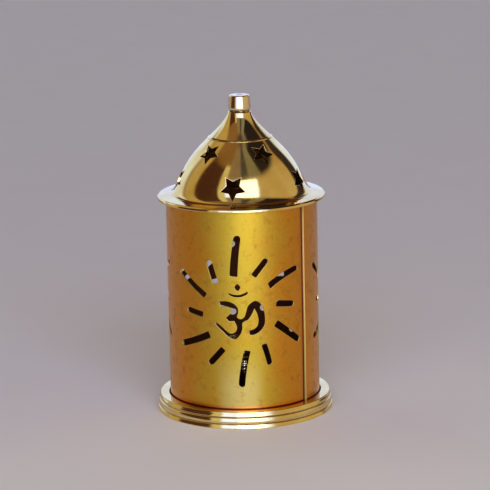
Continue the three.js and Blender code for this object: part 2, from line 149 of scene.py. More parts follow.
def spun(profile, normals, facets):
    """Points and normals of a profile turned about the axis, from the front round to the right."""
    turn = 2 * math.pi * np.arange(facets) / facets
    across = np.stack([np.sin(turn), -np.cos(turn), 0 * turn], 1)
    up = np.array([0, 0, 1.0])
    points = (profile[None, :, :1] * across[:, None] + profile[None, :, 1:] * up).reshape(-1, 3)
    out = (normals[None, :, :1] * across[:, None] + normals[None, :, 1:] * up).reshape(-1, 3)
    return points, out


def ring_faces(count, facets, closed=True):
    """The faces between the turned copies of a profile's points."""
    faces = []
    for i in range(facets):
        here, ahead = i * count, (i + 1) % facets * count
        for k in range(count if closed else count - 1):
            after = (k + 1) % count
            faces.append((here + k, here + after, ahead + after, ahead + k))
    return faces


def turned(name, profile, facets=256, grime_and_shade=None):
    """A piece turned on a lathe from a closed profile, or from one that starts and ends on the axis."""
    profile = np.asarray(profile)
    points, normals = spun(profile, profile_normals(profile), facets)
    marks = None if grime_and_shade is None else {"grime_and_shade": np.tile(grime_and_shade(profile), facets)}
    return make_piece(name, points, normals, ring_faces(len(profile), facets), marks)


class Socket:
    """A node's output. Arithmetic with it adds Math nodes."""

    def __init__(self, finish, socket):
        self.finish, self.socket = finish, socket

    def math(self, operation, a, b):
        return self.finish.node("ShaderNodeMath", {"operation": operation}, {0: a, 1: b})

    def __add__(self, other):
        return self.math("ADD", self, other)

    def __radd__(self, other):
        return self.math("ADD", other, self)

    def __sub__(self, other):
        return self.math("SUBTRACT", self, other)

    def __rsub__(self, other):
        return self.math("SUBTRACT", other, self)

    def __mul__(self, other):
        return self.math("MULTIPLY", self, other)

    def __rmul__(self, other):
        return self.math("MULTIPLY", other, self)

    def __pow__(self, other):
        return self.math("POWER", self, other)

    def __abs__(self):
        return self.math("ABSOLUTE", self, 0)


class Finish:
    """A finish, or the studio's light, as nodes."""

    def __init__(self, owner):
        owner.use_nodes = True
        self.owner, self.tree = owner, owner.node_tree

    def fill(self, node, inputs):
        for key, value in inputs.items():
            if isinstance(value, Socket):
                self.tree.links.new(value.socket, node.inputs[key])
            else:
                node.inputs[key].default_value = value

    def node(self, kind, settings=None, inputs=None, output=0):
        made = self.tree.nodes.new(kind)
        for key, value in (settings or {}).items():
            setattr(made, key, value)
        self.fill(made, inputs or {})
        return Socket(self, made.outputs[output])

    def mix(self, factor, a, b, mode="MIX"):
        """Colour a where the factor is 0, and b where it is 1."""
        settings = {"data_type": "RGBA", "blend_type": mode, "clamp_factor": True}
        return self.node("ShaderNodeMix", settings, {0: factor, 6: a, 7: b}, 2)

    def noise(self, place, size, detail=2, roughness=0.5):
        """Cloudy values round 0.5 with patches of that size."""
        return self.node("ShaderNodeTexNoise", {}, {
            "Vector": place, "Scale": 1 / size, "Detail": detail, "Roughness": roughness,
        })

    def between(self, value, low, high, start=0.0, end=1.0):
        """start where the value is at or under low, end where it is at or over high, smooth between."""
        return self.node("ShaderNodeMapRange", {"interpolation_type": "SMOOTHSTEP"}, {
            "Value": value, "From Min": low, "From Max": high, "To Min": start, "To Max": end,
        })

    def larger(self, a, b):
        """The larger of two values, at most 1."""
        return self.node("ShaderNodeMath", {"operation": "MAXIMUM", "use_clamp": True}, {0: a, 1: b})

    def mark(self, name):
        """The values that make_piece gave the piece under that name."""
        return self.node("ShaderNodeAttribute", {"attribute_name": name}, {}, "Fac")

    def principled(self, inputs):
        self.fill(self.tree.nodes["Principled BSDF"], inputs)


residue_and_shade_brown = (0.12, 0.055, 0.02, 1)


def turned_brass(name, light, deep, clear=0.06, hazy=0.16, line_gap=0.5 * mm, line_depth=0.002 * mm,
                 wave=0.02 * mm, grime_and_shade=False):
    """Buffed brass with the tool's fine lines round it, haze, and dark marks in its hollows: residue in
    grooves, painted shade in crevices and inside.
    """
    finish = Finish(bpy.data.materials.new(name))
    place = finish.node("ShaderNodeTexCoord", {}, {}, "Object")
    split = {axis: finish.node("ShaderNodeSeparateXYZ", {}, {0: place}, axis) for axis in "XYZ"}
    radius = (split["X"] * split["X"] + split["Y"] * split["Y"]) ** 0.5
    round_the_axis = finish.node("ShaderNodeCombineXYZ", {}, {0: radius, 1: split["Z"]})
    lines = finish.noise(round_the_axis, line_gap, 3, 0.65)
    cloud = finish.noise(place, 14 * mm, 3)
    rub = finish.noise(place, 2.2 * mm, 4, 0.6)
    swell = finish.noise(place, 11 * mm, 1)
    colour = finish.mix(finish.between(cloud, 0.36, 0.66), light, deep)
    colour = finish.mix(finish.between(rub, 0.5, 0.8) * 0.25, colour, deep)
    dull = clear + (hazy - clear) * finish.between(cloud * 0.6 + rub * 0.4, 0.42, 0.66) + lines * 0.03
    # marked hollows darken: residue in grooves, painted shade in crevices and inside the dome
    if grime_and_shade:
        residue_and_shade = finish.mark("grime_and_shade") * finish.between(rub, 0.2, 0.55)
        colour = finish.mix(residue_and_shade, colour, residue_and_shade_brown)
        dull = dull + residue_and_shade * 0.3
    bump = finish.node("ShaderNodeBump", {}, {"Strength": 1, "Distance": wave, "Height": swell})
    bump = finish.node("ShaderNodeBump", {}, {
        "Strength": 1, "Distance": line_depth, "Height": lines, "Normal": bump,
    })
    finish.principled({"Base Color": colour, "Metallic": 1, "Roughness": dull, "Normal": bump})
    return finish.owner


def finished(piece, material, body, slot, *nodes):
    """Gives a piece its finish, puts it on the body it rides on, and hides the nodes it stands for."""
    piece.data.materials.append(material)
    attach(piece, body)
    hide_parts(*nodes)


def bulge(start, end, out, steps=8):
    """Points from start to end along a shallow arc that stands out to the right of the way there."""
    start, end = np.array(start), np.array(end)
    along = end - start
    aside = np.array([along[1], -along[0]]) / np.linalg.norm(along)
    share = np.linspace(0, 1, steps + 1)[:, None]
    return (start + along * share + aside * out * 4 * share * (1 - share)).tolist()


_, base_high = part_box("base_dish")
foot_radius = base_high.x
ring_z = base_high.z
floor_z = ring_z - 3 * mm
recess_z = floor_z - 1.6 * mm
ring_inner = foot_radius - 5.25 * mm
band_step = 0.5 * mm
band_lean = 0.45 * mm
foot_band_top = 2 * mm
middle_band_top = 4.8 * mm
groove_half = 0.22 * mm
groove_depth = 0.45 * mm
band_swell = 0.07 * mm
foot_swell = 0 * mm  # the foot's band is straight
foot_edge = 0.32 * mm
ring_edge = 0.6 * mm
corner_reach = 0.6 * mm
corner_shade_reach = 2.5 * mm
screw_hole = 2.3 * mm
foot_ring_inner = foot_radius - 4.2 * mm
foot_ring_draft = 1.4 * mm


def groove(z, above):
    """The bottom of a groove at that height, under the band above it."""
    return [(above - groove_depth, z - 0.4 * groove_half), (above - groove_depth, z + 0.4 * groove_half)]


middle_radius = foot_radius - band_step
top_radius = middle_radius - band_step
base_profile = rounded([
    (screw_hole, recess_z, 0.2 * mm),
    (foot_ring_inner - foot_ring_draft, recess_z, 0.5 * mm),
    (foot_ring_inner, 0, 0.3 * mm),
    (foot_radius, 0, 0.3 * mm),
    *bulge((foot_radius, foot_edge), (foot_radius - band_lean, foot_band_top - groove_half), foot_swell),
    *groove(foot_band_top, middle_radius),
    *bulge((middle_radius, foot_band_top + groove_half),
           (middle_radius - band_lean, middle_band_top - groove_half), band_swell),
    *groove(middle_band_top, top_radius),
    *bulge((top_radius, middle_band_top + groove_half),
           (top_radius - band_lean, ring_z - ring_edge), band_swell),
    (top_radius - band_lean - 0.1 * mm, ring_z, 0.45 * mm),
    (ring_inner, ring_z, 0.25 * mm),
    (ring_inner, floor_z, 0.4 * mm),
    (ring_inner - corner_shade_reach, floor_z),
    (screw_hole, floor_z, 0.2 * mm),
])


def base_residue_and_shade(profile):
    """Residue in the two grooves, and painted shade in the corner at the ring's foot, in the gap round
    the sleeve.
    """
    r, z = profile[:, 0], profile[:, 1]
    marks = np.zeros(len(profile))
    for height, radius in ((foot_band_top, middle_radius), (middle_band_top, top_radius)):
        marks[(abs(z - height) < groove_half * 0.9) & (r < radius - 0.4 * groove_depth)] = 0.55
    # painted shade down in the corner at the ring's foot, where the sleeve stands
    on_floor = (z < floor_z + corner_reach) & (z > floor_z - 0.1 * mm)
    marks[(abs(r - ring_inner) < corner_reach) & on_floor] = 1
    return marks


base = turned("turned_base", base_profile, grime_and_shade=base_residue_and_shade)
base_brass = turned_brass("base_brass", (0.89, 0.70, 0.31, 1), (0.80, 0.56, 0.20, 1), grime_and_shade=True)
finished(base, base_brass, "base", "polished_brass", "base_dish")


# ---- Holder --------------------------------------------------------------------------------------
# A turned stem on a flared foot with a knop, and on it a turned cup with a hole for a stick in its
# floor. A spigot under the cup sits in the stem, and one screw from below holds both to the dish.

stem_low, stem_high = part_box("holder_stem")
stem_z, stem_top = stem_low.z, stem_high.z
stem_foot = stem_high.x
stem_radius = 3.4 * mm
knop_radius = 6.8 * mm
knop_height = 3.6 * mm
knop_top = stem_top - 2.4 * mm
spigot_radius = 2 * mm
spigot_length = 4.6 * mm
spigot_bore = spigot_radius + 0.3 * mm
spigot_end = spigot_length + 0.8 * mm
stem_web = 1.8 * mm


def arc(start, corner, end, steps=10):
    """Points on a curve that leaves start towards the corner and arrives at end from it."""
    a, b, c = (np.array(p) for p in (start, corner, end))
    share = np.linspace(0, 1, steps + 1)[:, None]
    return ((1 - share) ** 2 * a + 2 * share * (1 - share) * b + share ** 2 * c).tolist()


foot_top = stem_z + 0.9 * mm
bore_end = stem_top - spigot_end - stem_web
knop_middle = knop_top - 0.5 * knop_height
knop_line = 0.25 * mm
stem_profile = rounded([
    (0, bore_end),
    (screw_hole, bore_end),
    (screw_hole, stem_z, 0.15 * mm),
    (stem_foot, stem_z, 0.2 * mm),
    (stem_foot, foot_top, 0.3 * mm),
    *arc((stem_foot - 0.7 * mm, foot_top), (stem_radius, foot_top), (stem_radius, foot_top + 2.6 * mm)),
    (stem_radius, knop_top - knop_height, 0.3 * mm),
    (knop_radius, knop_top - knop_height, 1.1 * mm),
    (knop_radius - 0.05 * mm, knop_middle - knop_line, 0.2 * mm),
    (knop_radius - 0.35 * mm, knop_middle, 0.1 * mm),
    (knop_radius - 0.05 * mm, knop_middle + knop_line, 0.2 * mm),
    (knop_radius, knop_top, 1.1 * mm),
    (stem_radius + 0.1 * mm, knop_top, 0.3 * mm),
    (stem_radius + 0.1 * mm, stem_top, 0.15 * mm),
    (spigot_bore, stem_top, 0.1 * mm),
    (spigot_bore, stem_top - spigot_end),
    (0, stem_top - spigot_end),
])
stem = turned("turned_stem", stem_profile, 128)
holder_brass = turned_brass("holder_brass", (0.90, 0.78, 0.5, 1), (0.82, 0.64, 0.34, 1), 0.08, 0.2)
finished(stem, holder_brass, "base", "polished_brass", "holder_stem")

cup_low, cup_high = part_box("holder_cup")
cup_z = cup_low.z + spigot_length
rim_z = cup_high.z
cup_radius = cup_high.x
cup_foot = 5 * mm
cup_rim = 0.4 * mm
bowl_outer = cup_radius - cup_rim
bowl_inner = bowl_outer - 1.2 * mm
bowl_floor = cup_z + 1.5 * mm
stick_hole = 1.3 * mm
stick_depth = 4 * mm
cup_profile = rounded([
    (0, cup_low.z),
    (spigot_radius, cup_low.z, 0.2 * mm),
    (spigot_radius, cup_z, 0.1 * mm),
    (cup_foot - 0.4 * mm, cup_z, 0.1 * mm),
    *arc((cup_foot, cup_z + 0.1 * mm), (bowl_outer, cup_z), (bowl_outer, bowl_floor + 1.5 * mm)),
    (bowl_outer, rim_z - 1.1 * mm, 0.2 * mm),
    (cup_radius, rim_z - 0.8 * mm, 0.2 * mm),
    (cup_radius, rim_z, 0.35 * mm),
    (bowl_inner, rim_z, 0.25 * mm),
    (bowl_inner, bowl_floor, 1.6 * mm),
    (stick_hole, bowl_floor, 0.2 * mm),
    (stick_hole, bowl_floor - stick_depth, 0.3 * mm),
    (0, bowl_floor - stick_depth),
])
cup = turned("turned_cup", cup_profile, 160)
finished(cup, holder_brass, "base", "polished_brass", "holder_cup")


# ---- Sleeve --------------------------------------------------------------------------------------
# One sheet of brass, sawn by hand with three suns round the sacred sign, rolled into a tube and
# soldered where its right-hand end laps over the left-hand one, then lacquered to a golden satin.

sleeve_low, sleeve_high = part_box("sleeve")
sheet = 0.6 * mm
sleeve_radius = 32.3 * mm
sleeve_z, sleeve_top = sleeve_low.z, sleeve_high.z
girth = 2 * math.pi * sleeve_radius
lap_turn = math.radians(52.5)
lap_width = 8 * mm
lap_fade = 14 * mm
solder = 0.02 * mm
saw_ease = 0.12 * mm
dent_depth = 0.05 * mm
suns = 3
sun_turn = math.radians(-3.8)
sun_z = 48.3 * mm

# each ray, in mm from the sun's middle: inner end, outer end, width at each, and how far its middle
# bows to the left
rays = [
    ((-1.8, 16.4), (0.2, 33.8), (3.4, 2.9), 0.3),
    ((6.6, 16.3), (12.5, 23.3), (2.5, 2.5), 0),
    ((13.3, 11.6), (27.9, 17.7), (2.8, 2.5), 0.9),
    ((16.5, 3.8), (25.4, 2.5), (2.8, 2.5), 0),
    ((16.2, -4.7), (28.3, -13.9), (3.1, 2.8), 0),
    ((10.6, -13.3), (13.2, -22.5), (2.4, 2.3), 0.2),
    ((3.5, -15.7), (0.8, -31.5), (2.7, 2.7), -0.4),
    ((-6.7, -14.9), (-13.1, -21.9), (2.6, 2.7), 0),
    ((-12.8, -9.1), (-28.3, -15.2), (3.0, 2.7), 0.3),
    ((-15.8, -0.8), (-24.1, 0.6), (2.5, 2.4), 0),
    ((-14.4, 7.5), (-28.2, 16.9), (2.6, 2.6), 0),
    ((-9.4, 13.3), (-12.4, 22.9), (2.6, 2.6), 0.2),
]
cradle = ((-4.1, 8.9), (4.1, 9.4), (0.9, 1.1), -1.2)

# the sign's outline in runs, in mm from the sun's middle: a run is one smooth curve between corners
sign_runs = [
    [(-8.1, 5.5), (-4.9, 5.7), (-2.0, 4.7), (-0.3, 2.8), (-0.2, 0.6), (-0.7, -1.0), (0.8, -2.0),
     (2.4, -1.2), (3.4, 1.4), (4.3, 3.9), (7.4, 5.7), (10.1, 3.4), (11.2, -0.6), (11.1, -4.8),
     (9.2, -7.5), (6.8, -8.8), (4.7, -8.9)],
    [(4.4, -7.1), (6.3, -6.5), (7.9, -5.2), (8.5, -2.9), (8.0, 0.0), (6.8, 2.5)],
    [(6.8, 2.5), (5.8, 0.3), (4.2, -2.1), (2.7, -2.8)],
    [(2.7, -2.8), (1.5, -3.9), (1.5, -6.1), (0.5, -8.8), (-1.7, -10.7), (-4.5, -9.5), (-6.9, -7.3),
     (-9.5, -5.0), (-9.9, -3.5)],
    [(-9.9, -3.5), (-7.6, -5.0), (-5.2, -7.2), (-3.3, -8.3), (-1.3, -7.4), (-0.7, -5.4), (-1.8, -2.8)],
    [(-1.8, -2.8), (-4.2, -2.9)],
    [(-5.4, -1.5), (-3.4, 0.4), (-3.1, 2.2), (-4.5, 3.3), (-7.6, 3.4)],
]


def sawn_slot(start, end, wide, bow, round_start=False, ease=0.5, steps=10):
    """A sawn slot: square inner end with eased corners, round outer end, bowed sides."""
    start, end = np.array(start), np.array(end)
    length = np.linalg.norm(end - start)
    along = (end - start) / length
    left = np.array([-along[1], along[0]])

    def at(distance, side):
        share = distance / length
        half = (wide[0] + (wide[1] - wide[0]) * share) / 2
        return start + along * distance + left * (4 * bow * share * (1 - share) + side * half)

    def cap(half, distance, way, turns):
        return [at(distance + way * half * math.cos(turn), way * math.sin(turn)) for turn in turns]

    inner, outer = wide[0] / 2, wide[1] / 2
    quarter = math.radians(90)
    first = inner if round_start else ease
    stations = np.linspace(first, length - outer, steps)
    points = [at(distance, -1) for distance in stations[:-1]]
    points += cap(outer, length - outer, 1, np.linspace(-quarter, quarter, 9))
    points += [at(distance, 1) for distance in stations[::-1][1:]]
    if round_start:
        return np.array(points + cap(inner, inner, -1, np.linspace(-quarter, quarter, 7)[1:-1]))
    side = 1 - ease / inner
    return np.array(points + [at(0.3 * ease, (1 + side) / 2 + 0.1), at(0, side), at(0, -side),
                              at(0.3 * ease, -(1 + side) / 2 - 0.1)])


def smooth(run, steps=5):
    """A run's points with a smooth curve through them."""
    run = np.array(run)
    if len(run) == 2:
        return run
    ends = np.vstack([2 * run[0] - run[1], run, 2 * run[-1] - run[-2]])
    points = []
    for a, b, c, d in zip(ends, ends[1:], ends[2:], ends[3:]):
        for t in np.arange(steps) / steps:
            points.append(0.5 * (2 * b + (c - a) * t + (2 * a - 5 * b + 4 * c - d) * t ** 2
                                 + (3 * b - a - 3 * c + d) * t ** 3))
    return np.array(points + [run[-1]])


def tidy(outline, nearest=0.05):
    """The outline without points that lie on the one before, turned counter-clockwise."""
    keep = np.linalg.norm(outline - np.roll(outline, 1, 0), axis=1) > nearest
    outline = outline[keep]
    ahead = np.roll(outline, -1, 0)
    area = (outline[:, 0] * ahead[:, 1] - ahead[:, 0] * outline[:, 1]).sum()
    return outline if area > 0 else outline[::-1]


def grown(outline, by):
    """An outline moved outwards, with its corners kept."""
    side = np.roll(outline, -1, 0) - outline
    side /= np.linalg.norm(side, axis=1)[:, None]
    out = np.stack([side[:, 1], -side[:, 0]], 1)
    before = np.roll(out, 1, 0)
    corner = (out + before) / (1 + (out * before).sum(1)).clip(0.25)[:, None]
    return outline + by * corner


# the dot above the cradle, in mm: a round drawn out to four soft points
dot_x, dot_z = -0.2, 11.7
dot_half_width, dot_half_height = 1.2, 1.45
dot_point = 2 / 1.5
dot_turn = np.linspace(0, 2 * math.pi, 24, endpoint=False)
dot_round = [np.sign(wave(dot_turn)) * abs(wave(dot_turn)) ** dot_point for wave in (np.cos, np.sin)]
dot = np.stack([dot_x + dot_half_width * dot_round[0], dot_z + dot_half_height * dot_round[1]], 1)
sun_outlines = [tidy(outline) * mm for outline in (
    *(sawn_slot(*ray) for ray in rays),
    sawn_slot(*cradle, round_start=True),
    dot,
    np.vstack([smooth(run) for run in sign_runs]),
)]


def within(points, outline):
    """Which points lie inside an outline."""
    inside = np.zeros(len(points), bool)
    for a, b in zip(outline, np.roll(outline, -1, 0)):
        level = (a[1] > points[:, 1]) != (b[1] > points[:, 1])
        with np.errstate(divide="ignore", invalid="ignore"):
            cross = (b[0] - a[0]) * (points[:, 1] - a[1]) / (b[1] - a[1]) + a[0]
        inside ^= level & (points[:, 0] < cross)
    return inside


def pierced(place, outward_at, columns, rows, holes, thickness, ease, rim):
    """A sheet with sawn holes, drawn flat and bent by place(u, v, depth) into points.

    A hole is a function that gives its outline grown by a distance. With a rim the sheet's own
    edges are cut edges too, and without one they are left for what joins on. Returns points,
    normals, faces, and for each point whether it is on a cut edge and how deep in the sheet."""
    border = np.array(
        [(u, rows[0]) for u in columns[:-1]] + [(columns[-1], v) for v in rows[:-1]]
        + [(u, rows[-1]) for u in columns[:0:-1]] + [(columns[0], v) for v in rows[:0:-1]]
    )
    cuts = list(holes)
    if rim:
        centre = (border.max(0) + border.min(0)) / 2
        half = (border.max(0) - border.min(0)) / 2
        cuts.append(lambda by: centre + (border - centre) * (1 - by / half))
        border = cuts[-1](ease)
    grid = np.array([(u, v) for u in columns[1:-1] for v in rows[1:-1]])
    for hole in holes:
        around = hole(3 * ease)
        near = (grid > around.min(0)).all(1) & (grid < around.max(0)).all(1)
        near[near] = within(grid[near], around)
        grid = grid[~near]
    loops = [border] + [hole(ease) for hole in holes]
    starts = np.cumsum([0] + [len(loop) for loop in loops])
    flat = np.vstack(loops + [grid]) / mm
    areas = [list(range(a, b)) for a, b in zip(starts, starts[1:])]
    spots = [Vector(p) for p in flat]
    flat, _, triangles, _, _, origin = delaunay_2d_cdt(spots, [], areas, 1, 1e-6, True)
    flat = np.array([tuple(p) for p in flat]) * mm
    triangles = np.array([t for t, area in zip(triangles, origin) if list(area) == [0]])
    outer, inner = 0 * flat[:, 0], 0 * flat[:, 0] + thickness
    out = outward_at(flat[:, 0], flat[:, 1])
    points = [place(flat[:, 0], flat[:, 1], outer), place(flat[:, 0], flat[:, 1], inner)]
    normals = [out, -out]
    faces = triangles.tolist() + (triangles + len(flat)).tolist()
    cut, deep = [outer, outer], [outer, outer + 1]
    total = 2 * len(flat)
    eased = 0.29  # halfway round a quarter circle
    steps = [(1, 0, 0), (eased, eased, 0.5), (0, 1, 1)]  # how far out, how far down, how far turned
    for hole in cuts:
        wide, true = hole(ease), hole(0)
        count = len(true)
        out = outward_at(true[:, 0], true[:, 1])
        into = place(true[:, 0], true[:, 1], 0) - place(wide[:, 0], wide[:, 1], 0)
        into /= np.linalg.norm(into, axis=1)[:, None]
        layers = [(*step, 1) for step in steps] + [(*step, -1) for step in steps[::-1]]
        for k, (grow, down, lean, side) in enumerate(layers):
            loop = true + (wide - true) * grow
            depth = ease * down if side > 0 else thickness - ease * down
            points.append(place(loop[:, 0], loop[:, 1], depth))
            way = out * side * math.cos(lean * math.pi / 2) + into * math.sin(lean * math.pi / 2)
            normals.append(way / np.linalg.norm(way, axis=1)[:, None])
            cut.append(np.full(count, float(lean > 0)))
            deep.append(np.full(count, k / (len(layers) - 1)))
            if k:
                here, above = total + k * count, total + (k - 1) * count
                for i in range(count):
                    after = (i + 1) % count
                    faces.append((above + i, above + after, here + after, here + i))
        total += len(layers) * count
    return np.vstack(points), np.vstack(normals), faces, np.hstack(cut), np.hstack(deep)


def sheet_ride(distance):
    """How far the outside of the sheet stands out, at a distance from the lap's edge."""
    after = np.exp(-distance / lap_fade)
    before = np.exp(-(girth - distance) / lap_fade)
    tucked = np.exp(-(distance - girth) / lap_fade) - 2 - 2 * solder / sheet
    return sheet / 2 * np.where(distance <= girth, after - before, tucked)


def dent(distance, z):
    """The slight unevenness of a hand-rolled sheet."""
    turn = distance / sleeve_radius
    broad = np.sin(3 * turn + 1.1) * np.sin(z / (17 * mm))
    slanting = np.sin(5 * turn + z / (23 * mm))
    return dent_depth * (broad + 0.6 * slanting)


def sleeve_point(distance, z, depth):
    """A point of the rolled sheet, from its place along the flat one, its height and its depth."""
    turn = lap_turn + distance / sleeve_radius
    radius = sleeve_radius + sheet_ride(distance) + dent(distance, z) - depth
    return np.stack([radius * np.sin(turn), -radius * np.cos(turn), z + 0 * turn], 1)


def outward(place, step=0.01 * mm):
    """A function that gives the outward normals of a bent surface."""
    def normals(u, v):
        across = place(u + step, v, 0) - place(u - step, v, 0)
        up = place(u, v + step, 0) - place(u, v - step, 0)
        out = np.cross(across, up)
        return out / np.linalg.norm(out, axis=1)[:, None]
    return normals


def sun_hole(outline, turn):
    """One of a sun's holes: its outline, grown by a distance, on the flat sheet."""
    centre = (turn - lap_turn) % (2 * math.pi) * sleeve_radius

    def cut(by):
        return grown(outline, by) + (centre, sun_z)
    return cut


sun_holes = [
    sun_hole(outline, sun_turn + 2 * math.pi * k / suns) for k in range(suns) for outline in sun_outlines
]
lap_end = girth + lap_width
# columns of points all round, and closer ones at the lap's edge and where the sheet is tucked under
columns = np.unique(np.concatenate([
    np.linspace(0, lap_end, 300),
    np.array([0.2, 0.4, 0.8, 1.4, 2]) * mm,
    girth + np.array([-2, -1.4, -0.9, -0.6, -0.3, 0.3]) * mm,
]))
rows = np.linspace(sleeve_z, sleeve_top, 37)
points, normals, faces, cut, deep = pierced(
    sleeve_point, outward(sleeve_point), columns, rows, sun_holes, sheet, saw_ease, rim=True,
)
turns = np.arctan2(points[:, 0], -points[:, 1])
from_seam = ((turns - lap_turn + math.pi) % (2 * math.pi) - math.pi) * sleeve_radius
# where the painted sheen falls on the lacquer: strongest in the middle of each sun
painted_sheen = np.cos(suns * (turns - sun_turn))  # 1 at the middle of a sun, -1 halfway to the next
sleeve = make_piece("rolled_sleeve", points, normals, faces, {
    "cut": cut, "inside": deep, "from_seam": from_seam / mm, "painted_sheen": painted_sheen,
})

satin = Finish(bpy.data.materials.new("satin_brass"))
place = satin.node("ShaderNodeTexCoord", {}, {}, "Object")
height = satin.node("ShaderNodeSeparateXYZ", {}, {0: place}, "Z")
seam = satin.mark("from_seam")  # in mm, to the right of the lap's edge
inside = satin.mark("inside")
sawn = satin.mark("cut")
cloud = satin.noise(place, 16 * mm, 3)
grain = satin.noise(place, 0.6 * mm, 3, 0.65)
smear = satin.noise(place, 4 * mm, 4, 0.65)
# golden lacquer with painted sheen: paler in a sun's middle, orange between suns, and a painted highlight
# at its foot
pale = satin.between(satin.mark("painted_sheen") + (cloud - 0.5) * 2.4, -0.7, 1.1)
colour = satin.mix(pale, (0.75, 0.27, 0.009, 1), (0.60, 0.41, 0.028, 1))
# a painted highlight, pale, low down in the middle of each sun
painted_highlight = satin.between(satin.mark("painted_sheen"), 0.45, 1.0) * satin.between(height, 14 * mm, 34 * mm, 1, 0)
colour = satin.mix(painted_highlight * 0.6, colour, (0.82, 0.70, 0.24, 1))
colour = satin.mix(satin.between(grain, 0.35, 0.7) * 0.35, colour, (0.80, 0.54, 0.05, 1))
colour = satin.mix(satin.between(smear, 0.50, 0.72) * 0.5, colour, (0.46, 0.17, 0.012, 1))
# the torch's stain along the seam, and orange at the toe, just above the ring
heat = (1 - satin.between(abs(seam + 0.6), 0.4, 2.4)) * 0.85
toe = 1 - satin.between(height, ring_z + 0.3 * mm, ring_z + 2.2 * mm)
colour = satin.mix(satin.larger(heat, toe * 0.8), colour, (0.70, 0.17, 0.01, 1))
# dark flux and the lapped edge's painted shadow in the lap's corner, and a painted shadow where the
# sleeve leaves the ring
flux_and_lap_shadow = satin.between(seam, -1.35, -0.95) * (1 - satin.between(seam, -0.12, 0.0))
painted_shade = 1 - satin.between(abs(height - (ring_z + 0.15 * mm)), 0.2 * mm, 0.5 * mm)
colour = satin.mix(satin.larger(flux_and_lap_shadow, painted_shade) * 0.95, colour, (0.11, 0.012, 0.007, 1))
# soot and painted shade inside, bright saw cuts, and the lap's filed edge with a painted highlight beside
# it
soot_and_shade = satin.between(inside, 0.55, 0.9)
colour = satin.mix(soot_and_shade * 0.92, colour, (0.20, 0.06, 0.035, 1))
edge = sawn * (1 - soot_and_shade)
colour = satin.mix(edge * 0.85, colour, (0.95, 0.76, 0.26, 1))
# the filed edge, and a painted highlight along the outer sheet just past it
filed_edge_and_highlight = satin.between(seam, -0.1, 0.0) * (1 - satin.between(seam, 0.3, 0.5)) * (1 - soot_and_shade)
colour = satin.mix(filed_edge_and_highlight, colour, (0.84, 0.62, 0.15, 1))
dull = 0.36 + grain * 0.10 + satin.between(smear, 0.5, 0.75) * 0.12 + soot_and_shade * 0.25 + filed_edge_and_highlight * 0.2
bump = satin.node("ShaderNodeBump", {}, {"Strength": 1, "Distance": 0.02 * mm, "Height": cloud})
bump = satin.node("ShaderNodeBump", {}, {
    "Strength": 0.8, "Distance": 0.008 * mm, "Height": grain, "Normal": bump,
})
satin.principled({
    "Base Color": colour, "Metallic": 1 - filed_edge_and_highlight * 0.75, "Roughness": dull, "Normal": bump,
    "Coat Weight": 0.3 - soot_and_shade * 0.3, "Coat Roughness": 0.15,
})
finished(sleeve, satin.owner, "shell", "satin_brass", "sleeve")


# ---- Lid dome ------------------------------------------------------------------------------------
# Spun from brass: a flange with a rolled lip that rests on the sleeve, a locating ring inside it,
# and a bell-shaped dome pierced with two rows of stars. Buffed to a mirror outside.

dome_low, dome_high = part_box("lid_dome")
lip_radius = dome_high.x
flange_z = sleeve_top + 0.1 * mm
crease_z = flange_z + 2.2 * mm
crease_radius = 31 * mm
flange_fall = 0.6 * mm
lid_wall = 1.2 * mm
ring_bottom = dome_low.z
ring_outside = 31.1 * mm
ring_inside = ring_outside - 1 * mm
star_radius = 5.5  # in mm, as outlines are drawn
star_waist = 2.8
star_points = 5
star_step = math.radians(75.5)
stars_per_row = 5
lower_turn = math.radians(-7.4)  # the lower star that is nearest the front
lower_star_z = crease_z + 6.5 * mm
wall_lean = 22.5  # degrees from upright, where the wall rises out of the foot's curve
neck_lean = 46  # and where it meets the neck
neck_z = crease_z + 23.4 * mm
neck_foot_radius = 13.8 * mm
upper_star_z = neck_z - 4.6 * mm
upper_star_size = 0.94
upper_star_lean = math.radians(7)
star_ease = 0.16 * mm


def leaning(degrees):
    """The way up a profile that leans inwards by that much from upright."""
    return np.array([-math.sin(math.radians(degrees)), math.cos(math.radians(degrees))])


def stretch(a, lean_a, handle_a, b, lean_b, handle_b, steps):
    """A smooth stretch of profile that leaves a and arrives at b along the given leans from upright."""
    a, b = np.array(a), np.array(b)
    c, d = a + leaning(lean_a) * handle_a, b - leaning(lean_b) * handle_b
    t = np.linspace(0, 1, steps + 1)[:, None]
    return (1 - t) ** 3 * a + 3 * t * (1 - t) ** 2 * c + 3 * t ** 2 * (1 - t) * d + t ** 3 * b


# the dome's profile, from the flange's crease out of the foot's curve and up the wall to the neck
wall_start = (crease_radius - 4.5 * mm, crease_z + 6.4 * mm)
wall_end = (neck_foot_radius, neck_z)
foot_curve = stretch((crease_radius, crease_z), 90, 2 * mm, wall_start, wall_lean, 2.8 * mm, 40)
wall_curve = stretch(wall_start, wall_lean, 7.8 * mm, wall_end, neck_lean, 7.6 * mm, 80)
dome_curve = np.vstack([foot_curve, wall_curve[1:]])
dome_side = np.gradient(dome_curve, axis=0)
dome_side /= np.linalg.norm(dome_side, axis=1)[:, None]
dome_out = np.stack([dome_side[:, 1], -dome_side[:, 0]], 1)
flat_radius = 22 * mm  # the dome is drawn flat as long round as it is at this radius
dome_run = np.concatenate([[0], np.cumsum(np.linalg.norm(np.diff(dome_curve, axis=0), axis=1))])


def on_dome(run):
    """The dome's outside at a distance up its profile: radius, height and the normal's two parts."""
    return [np.interp(run, dome_run, part) for part in (*dome_curve.T, *dome_out.T)]


def dome_point(along, run, depth):
    """A point of the dome, from its place on the flat drawing and its depth in the wall."""
    turn = along / flat_radius
    r, z, out_r, out_z = on_dome(run)
    r, z = r - depth * out_r, z - depth * out_z
    return np.stack([r * np.sin(turn), -r * np.cos(turn), z], 1)


